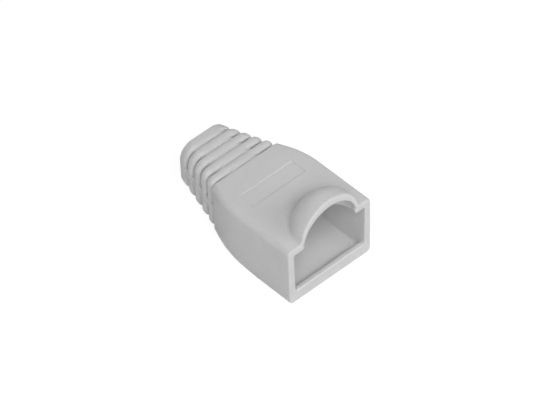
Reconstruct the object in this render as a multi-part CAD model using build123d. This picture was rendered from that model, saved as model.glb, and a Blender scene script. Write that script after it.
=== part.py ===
"""Strain relief boot for a modular network plug, moulded in one piece of soft PVC.

The frame is the boot's own: +Z up, the mouth faces -Y, the cable leaves along +Y,
and the origin is under the middle of the boot on its flat bottom. Millimetres.
Depths are measured back from the mouth. The shoulder and the tail keep their distance from the
tail's end, so a longer boot has a longer body.
"""
from build123d import *
import math
import os

# Overall sizes
length = 23.7
mouth_width = 13.9
mouth_height = 9.28
side_draft = 0.0135

# Shoulder, where the parallel sides swing in to the tapered tail
shoulder_start = length - 14.2
shoulder_middle = length - 9.3
shoulder_end = length - 6.7
shoulder_slope = 0.4
tail_side_slope = 0.206

# Upper and lower faces
top_turn_start = length - 13.9
top_turn_end = length - 8.9
tail_slope = 0.046
bottom_rise_start = length - 18.1
bottom_rise_middle = length - 14.1
bottom_ease_start = length - 13.1
bottom_ease_end = length - 10.1
bottom_rise_slope = 0.156

# Corner radii of the outer section
body_corner = 0.7
tail_start_corner = 0.8
tail_top_corner = 2.34
tail_bottom_corner = 2.8
mouth_outer_round = 0.25
body_rear_round = 0.3

# Plug cavity behind the mouth
cavity_width = 11.84
cavity_draft = 0.03
floor_height = 0.85
ceiling_height = mouth_height - 1.08
cavity_length = 9.8
cavity_corner = 0.3
sill_height = 1.88
lip_depth = 0.6
mouth_inner_round = 0.15
throat_end = length - 9.1

# Cable bore and the rounded core that carries the rings
bore_diameter = 5.8
bore_height = mouth_height / 2 + 0.36
bore_rim_chamfer = 0.2
core_side_inset = 0.7
core_top_inset = 0.14
core_flat_half_width = 1.1

# Ribbed tail
groove_count = 5
groove_pitch = 1.58
groove_width = 0.36
first_groove = length - 8.07
ring_inset = 0.05
ring_edge_round = 0.5
web_height = 1.15
web_middle = mouth_height / 2 + 0.11
web_slope = 0.1
web_inset = 0.08
web_end_gap = 1.0

# Hood over the latch of the plug
hood_radius = 4.82
hood_base = mouth_height - 0.37
hood_middle = 0.15
hood_straight = 0.9
hood_length = 4.9
hood_blend = 0.5
hollow_half_width = hood_radius - 0.37
hollow_rise = hood_radius - 0.47
hollow_straight = 1.1
hollow_length = 4.4
nose_reach = hollow_half_width - 0.15
tab_height = 0.74
notch_round = 0.15
tab_corner = 0.25

# Label recess in the top
recess_width = 8.9
recess_length = 2.45
recess_front = 9.1
recess_depth = 0.13
recess_corner = 0.12

front = -length / 2
body_end = first_groove - groove_width / 2
past_face = 1.0
root_overlap = 0.5
room_overlap = 0.1
edge_margin = 0.1
point_margin = 0.01
shoulder_steps = 12
web_steps = 3


def eased(depth, start, end, before, after):
    """Distance gained at a depth when a slope changes evenly from before to after."""
    inside = min(max(depth, start), end) - start
    change = (after - before) / (end - start)
    past_end = max(depth - end, 0)
    return before * depth + change * inside ** 2 / 2 + (after - before) * past_end


def half_width(depth):
    """Half the outer width at mid height: parallel, then an S-curve in plan."""
    swing = eased(depth, shoulder_start, shoulder_middle, 0, shoulder_slope)
    ease = eased(depth, shoulder_middle, shoulder_end, 0, tail_side_slope - shoulder_slope)
    return mouth_width / 2 - swing - ease


def top(depth):
    """Height of the upper face: flat, then a slight fall along the tail."""
    return mouth_height - eased(depth, top_turn_start, top_turn_end, 0, tail_slope)


def bottom(depth):
    """Height of the lower face: flat, then an S-curve up to the tail."""
    rise = eased(depth, bottom_rise_start, bottom_rise_middle, 0, bottom_rise_slope)
    ease = eased(depth, bottom_ease_start, bottom_ease_end, 0, tail_slope - bottom_rise_slope)
    return rise + ease


def corner(depth, at_tail):
    """Corner radius of the outer section, growing from the body to the tail."""
    if depth < top_turn_start:
        return body_corner
    if depth < body_end:
        share = (depth - top_turn_start) / (body_end - top_turn_start)
        return body_corner + share * (tail_start_corner - body_corner)
    share = (depth - body_end) / (length - body_end)
    return tail_start_corner + share * (at_tail - tail_start_corner)


def cross_plane(depth, height=0.0):
    """A plane across the boot, with its local Y pointing up."""
    return Plane(origin=(0, front + depth, height), x_dir=(1, 0, 0), z_dir=(0, -1, 0))


def outer_section(depth, inset=0.0):
    """The outside at a depth: a rounded box, slightly wider at the top."""
    high = top(depth) - inset
    low = bottom(depth) + inset
    middle = mouth_height / 2
    high_half = half_width(depth) - inset + side_draft * (high - middle)
    low_half = half_width(depth) - inset + side_draft * (low - middle)
    low_round = corner(depth, tail_bottom_corner) - inset
    high_round = corner(depth, tail_top_corner) - inset
    corners = [(-low_half, low), (low_half, low), (high_half, high), (-high_half, high)]
    radii = [low_round, low_round, high_round, high_round]
    outline = FilletPolyline(*corners, radius=radii, close=True)
    return cross_plane(depth) * make_face(outline)


def outer_loft(start, end, steps, inset=0.0):
    """The outside between two depths, through evenly spaced sections."""
    depths = [start + (end - start) * i / steps for i in range(steps + 1)]
    return loft([outer_section(depth, inset) for depth in depths])


def make_hood():
    """The domed hood that stands over the latch, solid: a barrel that ends in half an egg."""
    side = Plane(origin=(hood_middle, front, hood_base), x_dir=(0, 1, 0), z_dir=(1, 0, 0))
    barrel = Polyline((hood_length, 0), (0, 0), (0, hood_radius), (hood_straight, hood_radius))
    egg = EllipticalCenterArc((hood_straight, 0), hood_length - hood_straight, hood_radius, 0, arc_size=90)
    axis = Axis((hood_middle, front, hood_base), (0, 1, 0))
    return revolve(side * make_face(barrel + egg), axis, 360)


def make_shell():
    """Body and hood, joined with a soft blend and rounded at the front and rear edges."""
    block = extrude(outer_section(0), amount=-bottom_rise_start)
    shell = block + make_hood()
    seam = shell.edges().filter_by_position(Axis.Z, mouth_height - edge_margin, mouth_height + edge_margin)
    seam_reach = hood_radius + edge_margin
    seam = seam.filter_by_position(Axis.X, hood_middle - seam_reach, hood_middle + seam_reach)
    seam = seam.filter_by_position(Axis.Y, front + edge_margin, front + hood_length)
    shell = fillet(seam, hood_blend)
    mouth_face = shell.faces().sort_by(Axis.Y)[0]
    shell = fillet(mouth_face.outer_wire().edges(), mouth_outer_round)
    shoulder = outer_loft(bottom_rise_start, body_end, shoulder_steps)
    rear_face = shoulder.faces().sort_by(Axis.Y)[-1]
    return shell + fillet(rear_face.edges(), body_rear_round)


def core_section(depth):
    """The core at a depth: nearly oval, with a flat of constant width on top and below."""
    half_height = (top(depth) - bottom(depth)) / 2 - core_top_inset
    middle = (top(depth) + bottom(depth)) / 2
    half = half_width(depth) - core_side_inset
    round_most = half_height - point_margin
    core_round = min(half - core_flat_half_width, round_most)
    return cross_plane(depth, middle) * RectangleRounded(2 * half, 2 * half_height, core_round)


def make_tail():
    """Rings on the core, with a web at mid height on each side."""
    root = body_end - root_overlap
    core_end = length - ring_edge_round
    tail = loft([core_section(depth) for depth in (root, shoulder_end, core_end)])
    for i in range(groove_count):
        start = first_groove + groove_width / 2 + i * groove_pitch
        end = start + groove_pitch - groove_width
        if i == groove_count - 1:
            end = length
        ring = outer_loft(start, end, 1, ring_inset)
        ends = ring.faces().filter_by(Plane.XZ)
        tail = tail + fillet(ends.edges(), ring_edge_round)
    web_length = length - body_end - web_end_gap
    slab = Box(mouth_width, web_length, web_height, align=(Align.CENTER, Align.MIN, Align.CENTER))
    lean = math.degrees(math.atan(web_slope))
    slab = Pos(0, front + body_end, web_middle) * Rot(X=lean) * slab
    return tail + (outer_loft(root, core_end, web_steps, web_inset) & slab)


def cavity_face(low, corner_round):
    """The cavity's section from a lower height up to its ceiling, slightly wider at the top."""
    middle = (ceiling_height + floor_height) / 2
    high_half = cavity_width / 2 + cavity_draft * (ceiling_height - middle)
    low_half = cavity_width / 2 + cavity_draft * (low - middle)
    corners = [(-low_half, low), (low_half, low), (high_half, ceiling_height), (-high_half, ceiling_height)]
    return make_face(FilletPolyline(*corners, radius=corner_round, close=True))


def arch_face():
    """The section of the hollow under the hood. Its lower half lies in the cavity."""
    return Pos(hood_middle, ceiling_height) * Ellipse(hollow_half_width, hollow_rise)


def make_mouth():
    """The opening at the front, over the sill and under the arch, narrowed by a tab on each side.

    The left tab ends flush with the arch. The right one ends in a round nose that stands in
    from it, with a small notch above.
    """
    nose_round = tab_height / 2
    nose_height = ceiling_height + nose_round
    root_start = nose_reach + nose_round
    root_width = cavity_width / 2 - root_start
    gap = Pos(nose_reach, nose_height) * Rectangle(2 * nose_round, tab_height, align=(Align.CENTER, Align.MAX))
    nose = Pos(root_start, nose_height) * Circle(nose_round)
    root = Pos(root_start + root_width / 2, nose_height) * Rectangle(root_width, tab_height)
    opening = cavity_face(sill_height, cavity_corner) + arch_face() + gap - nose - root
    points = opening.vertices()
    notch = points.filter_by_position(Axis.X, 0, nose_reach + tab_height).filter_by_position(
        Axis.Y, nose_height, ceiling_height + tab_height)
    opening = fillet(notch, notch_round)
    left_tab = opening.vertices().filter_by_position(Axis.X, -hollow_half_width, 0).filter_by_position(
        Axis.Y, ceiling_height - point_margin, ceiling_height + point_margin)
    opening = fillet(left_tab, tab_corner)
    return extrude(cross_plane(-past_face) * opening, amount=-(lip_depth + past_face))


def make_hood_hollow():
    """The space under the hood behind the tabs, which opens down into the cavity."""
    passage = extrude(cross_plane(lip_depth) * arch_face(), amount=-(hollow_straight - lip_depth))
    dome = scale(Sphere(1), by=(hollow_half_width, hollow_length - hollow_straight, hollow_rise))
    hollow = passage + Pos(hood_middle, front + hollow_straight, ceiling_height) * dome
    room = Pos(0, 0, ceiling_height - room_overlap) * Box(
        mouth_width, length, mouth_height, align=(Align.CENTER, Align.CENTER, Align.MIN))
    return hollow & room


def make_cavity():
    """The plug cavity behind the sill, the throat and the cable bore."""
    face = cavity_face(floor_height, cavity_corner)
    cavity = extrude(cross_plane(lip_depth) * face, amount=-(cavity_length - lip_depth))
    bore = cross_plane(throat_end, bore_height) * Circle(bore_diameter / 2)
    throat = loft([cross_plane(cavity_length) * face, bore])
    cable = extrude(bore, amount=-(length - throat_end + past_face))
    return cavity + throat + cable


def make_recess():
    """The shallow label recess in the top."""
    block = Box(recess_width, recess_length, past_face)
    block = fillet(block.edges().filter_by(Axis.Z), recess_corner)
    middle = front + recess_front + recess_length / 2
    return Pos(0, middle, mouth_height - recess_depth + past_face / 2) * block


def round_openings(boot):
    """Rounds the inner edge of the mouth and breaks the edge where the cable leaves."""
    mouth_face = boot.faces().sort_by(Axis.Y)[0]
    boot = fillet(mouth_face.inner_wires()[0].edges(), mouth_inner_round)
    tail_face = boot.faces().sort_by(Axis.Y)[-1]
    return chamfer(tail_face.inner_wires()[0].edges(), bore_rim_chamfer)


def make_boot():
    boot = make_shell() + make_tail()
    boot = boot - make_cavity() - make_mouth() - make_hood_hollow() - make_recess()
    return round_openings(boot)


os.makedirs("parts", exist_ok=True)
boot = make_boot()
export_step(boot, "parts/boot.step")
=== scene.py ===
"""Looks for the strain relief boot: soft grey plastic under plain studio light.

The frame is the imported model's own, in metres: +Z is up, the mouth faces -Y, and the
origin is under the middle of the boot, level with its flat bottom.
"""
import math
import bmesh
import bpy
from mathutils import Matrix, Vector


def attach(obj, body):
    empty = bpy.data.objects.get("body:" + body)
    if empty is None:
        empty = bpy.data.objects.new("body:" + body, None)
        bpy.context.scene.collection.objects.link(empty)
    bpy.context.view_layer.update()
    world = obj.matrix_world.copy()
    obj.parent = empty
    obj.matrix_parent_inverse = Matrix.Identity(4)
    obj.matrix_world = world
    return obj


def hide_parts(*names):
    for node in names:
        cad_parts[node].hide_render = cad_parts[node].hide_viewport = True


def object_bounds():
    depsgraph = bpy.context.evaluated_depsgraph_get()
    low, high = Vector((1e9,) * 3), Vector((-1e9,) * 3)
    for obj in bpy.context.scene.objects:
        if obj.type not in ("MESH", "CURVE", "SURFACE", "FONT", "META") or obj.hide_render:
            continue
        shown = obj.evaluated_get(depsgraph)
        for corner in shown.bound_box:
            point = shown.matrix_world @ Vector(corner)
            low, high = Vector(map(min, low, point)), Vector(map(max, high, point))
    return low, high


millimetre = 0.001

# Camera, in degrees, pixels and millimetres, with its reach in metres
camera_azimuth = 41.839
camera_elevation = 45.642
camera_roll = -1.605
focal_pixels = 5639.23
pixels_per_millimetre = 8.01845
mouth_pixel = (330.736, 277.673)
picture_width = 560
picture_height = 416
sensor_width = 36.0
camera_reach = 10.0

# Lamps, in metres and watts, each with its direction from the boot and its power
lamp_distance = 0.35
lamp_size = 0.22
aim_height = 0.005
lamps = {
    "key": ((-0.36, -0.6, 0.71), 0.77),
    "front_fill": ((0.4, -0.75, 0.5), 0.39),
    "low_left_fill": ((-0.93, -0.3, 0.2), 0.09),
    "rear_right_fill": ((0.5, 0.75, 0.45), 0.34),
    "rear_left_fill": ((-0.5, 0.7, 0.5), 0.2),
}

# Floor and surround, with the floor's half size in metres
sky_strength = 0.02
backdrop_strength = 1.0
floor_grey = 0.8
floor_lift = 0.82
floor_glow = 0.1
floor_half_size = 3.0

# Outside of the moulding, in millimetres, with depths measured back from the mouth
mouth_half_width = 6.95
mouth_height = 9.28
shoulder_bends = ((9.5, 14.4, 0.0, 0.4), (14.4, 17.0, 0.0, -0.194))
top_bend = (9.8, 14.8, 0.0, 0.046)
tail_start = 15.45
tail_end = 23.7
tail_start_corner = 0.8
tail_end_corner = 2.34
ring_inset = 0.05
first_groove = 15.63
groove_pitch = 1.58
groove_count = 5

# Crests of the rings, in millimetres, drawn over the flat middle of the tail's top
groove_depth = 0.34
groove_reach = 0.76
groove_power = 2.2
crest_full = 0.6
crest_none = 2.8
groove_lead = 0.25
core_fall = 0.08
end_round = 0.55
deepest = 1.0
step_across = 0.2
step_along = 0.1
top_least_height = 8.0
top_least_upward = 0.25

# Label recess, in millimetres, with the least fold at its rim in radians
recess_half_width = 4.45
recess_front = 9.1
recess_rear = 11.55
recess_round = 0.12
rim_margin = 0.02
rim_fold = 1.0
rim_segments = 3

# Mesh, with the angle of a sharp fold in degrees and distances in metres
fold_angle = 32
merge_distance = 0.000002
cut_tolerance = 0.00000001

# Plastic, with distances in metres and the scales of its noises per metre
plastic_grey = 0.66
plastic_roughness = 0.56
plastic_shine = 0.25
noise_middle = 0.5
cloud_scale = 260.0
cloud_detail = 3.0
cloud_tone = 0.06
cloud_roughness = 0.12
grain_scale = 7000.0
grain_detail = 2.0
grain_tone = 0.14
grain_roughness = 0.1
grain_height = 0.35
swell_scale = 900.0
swell_detail = 2.0
bump_strength = 0.5
bump_distance = 0.00002
glow_through = 0.35
glow_through_depth = 0.0008


class Socket:
    """A value in a node tree, with Python's operators standing for Math nodes."""

    def __init__(self, tree, output):
        self.tree = tree
        self.output = output

    def math(self, operation, first, second):
        """Adds a Math node on two sockets or numbers."""
        return self.tree.node("ShaderNodeMath", {"operation": operation}, {0: first, 1: second})

    def __add__(self, other):
        return self.math("ADD", self, other)

    def __radd__(self, other):
        return self.math("ADD", other, self)

    def __sub__(self, other):
        return self.math("SUBTRACT", self, other)

    def __rsub__(self, other):
        return self.math("SUBTRACT", other, self)

    def __mul__(self, other):
        return self.math("MULTIPLY", self, other)

    def __rmul__(self, other):
        return self.math("MULTIPLY", other, self)


class Tree:
    """A material's or the world's nodes."""

    def __init__(self, owner):
        owner.use_nodes = True
        self.nodes = owner.node_tree.nodes
        self.links = owner.node_tree.links
        self.nodes.clear()

    def node(self, kind, settings, inputs, result=0):
        """Adds a node with its settings, feeds its sockets and returns one of its outputs."""
        made = self.nodes.new(kind)
        for name, value in settings.items():
            setattr(made, name, value)
        for name, value in inputs.items():
            if isinstance(value, Socket):
                self.links.new(value.output, made.inputs[name])
            else:
                made.inputs[name].default_value = value
        if len(made.outputs) == 0:
            return made
        return Socket(self, made.outputs[result])

    def noise(self, place, scale, detail):
        """Adds a noise that varies with place and returns its value."""
        return self.node("ShaderNodeTexNoise", {}, {"Vector": place, "Scale": scale, "Detail": detail})


def grey(level):
    """An opaque grey, as a colour socket takes it."""
    return (level, level, level, 1.0)


def soft_plastic():
    """Soft matte plastic: a fine moulded grain and a faint unevenness of tone."""
    material = bpy.data.materials.new("soft_grey_plastic")
    tree = Tree(material)
    place = tree.node("ShaderNodeTexCoord", {}, {}, "Object")
    cloudy = tree.noise(place, cloud_scale, cloud_detail)
    grain = tree.noise(place, grain_scale, grain_detail)
    swell = tree.noise(place, swell_scale, swell_detail)
    tone = (cloudy - noise_middle) * cloud_tone + (grain - noise_middle) * grain_tone + plastic_grey
    colour = tree.node("ShaderNodeCombineColor", {}, {"Red": tone, "Green": tone, "Blue": tone})
    uneven = (cloudy - noise_middle) * cloud_roughness + (grain - noise_middle) * grain_roughness
    bump = tree.node("ShaderNodeBump", {}, {
        "Height": grain * grain_height + swell,
        "Strength": bump_strength,
        "Distance": bump_distance,
    })
    shader = tree.node("ShaderNodeBsdfPrincipled", {}, {
        "Base Color": colour,
        "Roughness": uneven + plastic_roughness,
        "Normal": bump,
        "Specular IOR Level": plastic_shine,
        "Subsurface Weight": glow_through,
        "Subsurface Radius": (1.0, 1.0, 1.0),
        "Subsurface Scale": glow_through_depth,
    })
    tree.node("ShaderNodeOutputMaterial", {}, {"Surface": shader})
    return material


def eased(depth, start, end, before, after):
    """Distance gained at a depth when a slope changes evenly from before to after."""
    inside = min(max(depth, start), end) - start
    return before * depth + (after - before) * (inside ** 2 / 2 / (end - start) + max(depth - end, 0))


def crest_height(across, depth):
    """Height of the rings' outside above the bottom, at a place on the tail's top."""
    half = mouth_half_width - sum(eased(depth, *bend) for bend in shoulder_bends) - ring_inset
    share = (depth - tail_start) / (tail_end - tail_start)
    corner = tail_start_corner + share * (tail_end_corner - tail_start_corner) - ring_inset
    past = min(max(across - (half - corner), 0), corner)
    level = mouth_height - eased(depth, *top_bend) - ring_inset
    return level - corner + math.sqrt(corner ** 2 - past ** 2)


def groove_fall(depth):
    """How far the surface lies below the crest, by the distance to the nearest groove."""
    number = min(max(round((depth - first_groove) / groove_pitch), 0), groove_count - 1)
    near = max(1 - abs(depth - first_groove - number * groove_pitch) / groove_reach, 0)
    return groove_depth * near ** groove_power


def solid_share(across):
    """How much of the solid's own height counts: none in the middle, all of it further out."""
    share = min(max((across - crest_full) / (crest_none - crest_full), 0), 1)
    return share * share * (3 - 2 * share)


def steps(low, high, step):
    """Evenly spaced values that start at low and don't pass high."""
    count = int((high - low) / step)
    return [low + step * i for i in range(count + 1)]


def cut_grid(shape, mouth_depth, lead):
    """Cuts the tail's top into small cells and returns their corners."""

    def on_top(face):
        centre = face.calc_center_median() / millimetre
        high = face.normal.z > top_least_upward and centre.z > top_least_height
        return high and centre.y > mouth_depth + lead

    faces = [face for face in shape.faces if on_top(face)]
    edges = {edge for face in faces for edge in face.edges}
    geometry = faces + list(edges) + list({vert for edge in edges for vert in edge.verts})
    cuts = [((across, 0, 0), (1, 0, 0)) for across in steps(-crest_none, crest_none, step_across)]
    cuts += [((0, mouth_depth + depth, 0), (0, 1, 0)) for depth in steps(lead, tail_end, step_along)]
    for place, normal in cuts:
        geometry = bmesh.ops.bisect_plane(
            shape, geom=geometry, dist=cut_tolerance,
            plane_co=Vector(place) * millimetre, plane_no=normal)["geom"]
    return {item for item in geometry if isinstance(item, bmesh.types.BMVert)}


def draw_crests(shape, mouth_depth):
    """Turns the flat middle of the tail's top into round crests between narrow grooves."""
    lead = first_groove - groove_lead
    for vert in cut_grid(shape, mouth_depth, lead):
        across = abs(vert.co.x) / millimetre
        depth = vert.co.y / millimetre - mouth_depth
        actual = vert.co.z / millimetre
        if across >= crest_none or depth <= lead or depth >= tail_end - end_round:
            continue
        crest = crest_height(across, depth)
        on_body = depth < first_groove and actual > crest - core_fall
        if on_body or actual <= crest - deepest:
            continue
        drawn = crest - groove_fall(depth)
        share = solid_share(across)
        vert.co.z = (drawn * (1 - share) + min(actual, drawn + share) * share) * millimetre


def round_recess(shape, mouth_depth):
    """Softens the rim of the label recess."""

    def on_rim(vert):
        place = vert.co / millimetre
        depth = place.y - mouth_depth
        beside = abs(place.x) < recess_half_width + rim_margin
        along = recess_front - rim_margin < depth < recess_rear + rim_margin
        return beside and along and abs(place.z - mouth_height) < rim_margin

    level = [edge for edge in shape.edges if all(on_rim(vert) for vert in edge.verts)]
    rim = [edge for edge in level if len(edge.link_faces) == 2 and edge.calc_face_angle() > rim_fold]
    bmesh.ops.bevel(
        shape, geom=rim, offset=recess_round * millimetre,
        segments=rim_segments, profile=0.5, affect="EDGES", material=-1)


def make_skin(node, mouth_depth):
    """A merged copy of the moulded solid, with drawn crests, a soft recess rim and smooth curves."""
    mesh = node.data.copy()
    mesh.name = "boot_skin"
    shape = bmesh.new()
    shape.from_mesh(mesh)
    bmesh.ops.remove_doubles(shape, verts=shape.verts, dist=merge_distance)
    shape.normal_update()
    draw_crests(shape, mouth_depth)
    round_recess(shape, mouth_depth)
    for face in shape.faces:
        face.smooth = True
    shape.to_mesh(mesh)
    shape.free()
    stored = mesh.attributes.get("custom_normal")
    if stored:
        mesh.attributes.remove(stored)
    mesh.set_sharp_from_angle(angle=math.radians(fold_angle))
    skin = bpy.data.objects.new("boot_skin", mesh)
    bpy.context.collection.objects.link(skin)
    flat = skin.modifiers.new("flat_faces_stay_flat", "WEIGHTED_NORMAL")
    flat.keep_sharp = True
    return skin


def make_floor():
    """A pale floor, white to the camera, that keeps a soft shadow."""
    shape = bmesh.new()
    bmesh.ops.create_grid(shape, x_segments=1, y_segments=1, size=floor_half_size)
    mesh = bpy.data.meshes.new("floor")
    shape.to_mesh(mesh)
    shape.free()
    floor = bpy.data.objects.new("floor", mesh)
    bpy.context.collection.objects.link(floor)
    material = bpy.data.materials.new("pale_floor")
    tree = Tree(material)
    ray = tree.node("ShaderNodeLightPath", {}, {}, "Is Camera Ray")
    matte = tree.node("ShaderNodeBsdfDiffuse", {}, {"Color": grey(floor_grey)})
    dim_matte = tree.node("ShaderNodeBsdfDiffuse", {}, {"Color": grey(floor_grey * (1 - floor_lift))})
    glow = tree.node("ShaderNodeEmission", {}, {"Color": grey(1.0), "Strength": floor_lift + floor_glow})
    lifted = tree.node("ShaderNodeAddShader", {}, {0: dim_matte, 1: glow})
    seen = tree.node("ShaderNodeMixShader", {}, {0: ray, 1: matte, 2: lifted})
    tree.node("ShaderNodeOutputMaterial", {}, {"Surface": seen})
    mesh.materials.append(material)


def make_sky():
    """An even dim surround, white where the camera sees it."""
    world = bpy.data.worlds.new("surround")
    bpy.context.scene.world = world
    tree = Tree(world)
    ray = tree.node("ShaderNodeLightPath", {}, {}, "Is Camera Ray")
    light = tree.node("ShaderNodeBackground", {}, {"Color": grey(1.0), "Strength": sky_strength})
    backdrop = tree.node("ShaderNodeBackground", {}, {"Color": grey(1.0), "Strength": backdrop_strength})
    mixed = tree.node("ShaderNodeMixShader", {}, {0: ray, 1: light, 2: backdrop})
    tree.node("ShaderNodeOutputWorld", {}, {"Surface": mixed})


def make_lamp(name, direction, power):
    """A round soft lamp that points at the boot."""
    lamp = bpy.data.lights.new(name, "AREA")
    lamp.shape = "DISK"
    lamp.size = lamp_size
    lamp.energy = power
    holder = bpy.data.objects.new(name, lamp)
    bpy.context.collection.objects.link(holder)
    towards = Vector(direction).normalized()
    holder.location = towards * lamp_distance + Vector((0, 0, aim_height))
    holder.rotation_euler = towards.to_track_quat("Z", "Y").to_euler()


def make_camera(mouth_depth):
    """The camera of the photograph, placed from the middle of the mouth's lower edge."""
    turn = -math.radians(camera_azimuth)
    lift = math.radians(camera_elevation)
    roll = math.radians(camera_roll)
    level = Vector((math.cos(turn), math.sin(turn), 0))
    back = Vector((math.sin(turn) * math.cos(lift), -math.cos(turn) * math.cos(lift), math.sin(lift)))
    upright = back.cross(level)
    right = level * math.cos(roll) + upright * math.sin(roll)
    up = upright * math.cos(roll) - level * math.sin(roll)
    distance = focal_pixels / pixels_per_millimetre
    aside = (mouth_pixel[0] - picture_width / 2) / pixels_per_millimetre
    below = (mouth_pixel[1] - picture_height / 2) / pixels_per_millimetre
    place = (back * distance - right * aside + up * below) * millimetre + Vector((0, mouth_depth, 0))
    camera = bpy.data.cameras.new("camera")
    camera.sensor_width = sensor_width
    camera.lens = focal_pixels * sensor_width / picture_width
    camera.clip_end = camera_reach
    holder = bpy.data.objects.new("camera", camera)
    bpy.context.collection.objects.link(holder)
    axes = Matrix((right, up, back)).transposed().to_4x4()
    holder.matrix_world = Matrix.Translation(place) @ axes
    bpy.context.scene.camera = holder


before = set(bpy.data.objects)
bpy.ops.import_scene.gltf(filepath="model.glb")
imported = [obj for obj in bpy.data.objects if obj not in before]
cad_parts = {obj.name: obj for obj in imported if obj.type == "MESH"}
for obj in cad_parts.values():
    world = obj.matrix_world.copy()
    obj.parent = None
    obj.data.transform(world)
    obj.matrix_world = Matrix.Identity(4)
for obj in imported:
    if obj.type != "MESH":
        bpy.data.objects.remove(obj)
solid_low, solid_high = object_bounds()
bpy.context.scene.view_settings.view_transform = "Standard"

skin = make_skin(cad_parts["boot"], solid_low.y / millimetre)
skin.data.materials.clear()
skin.data.materials.append(soft_plastic())
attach(skin, "root")
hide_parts("boot")

make_floor()
make_sky()
for name, (direction, power) in lamps.items():
    make_lamp(name, direction, power)
make_camera(solid_low.y)
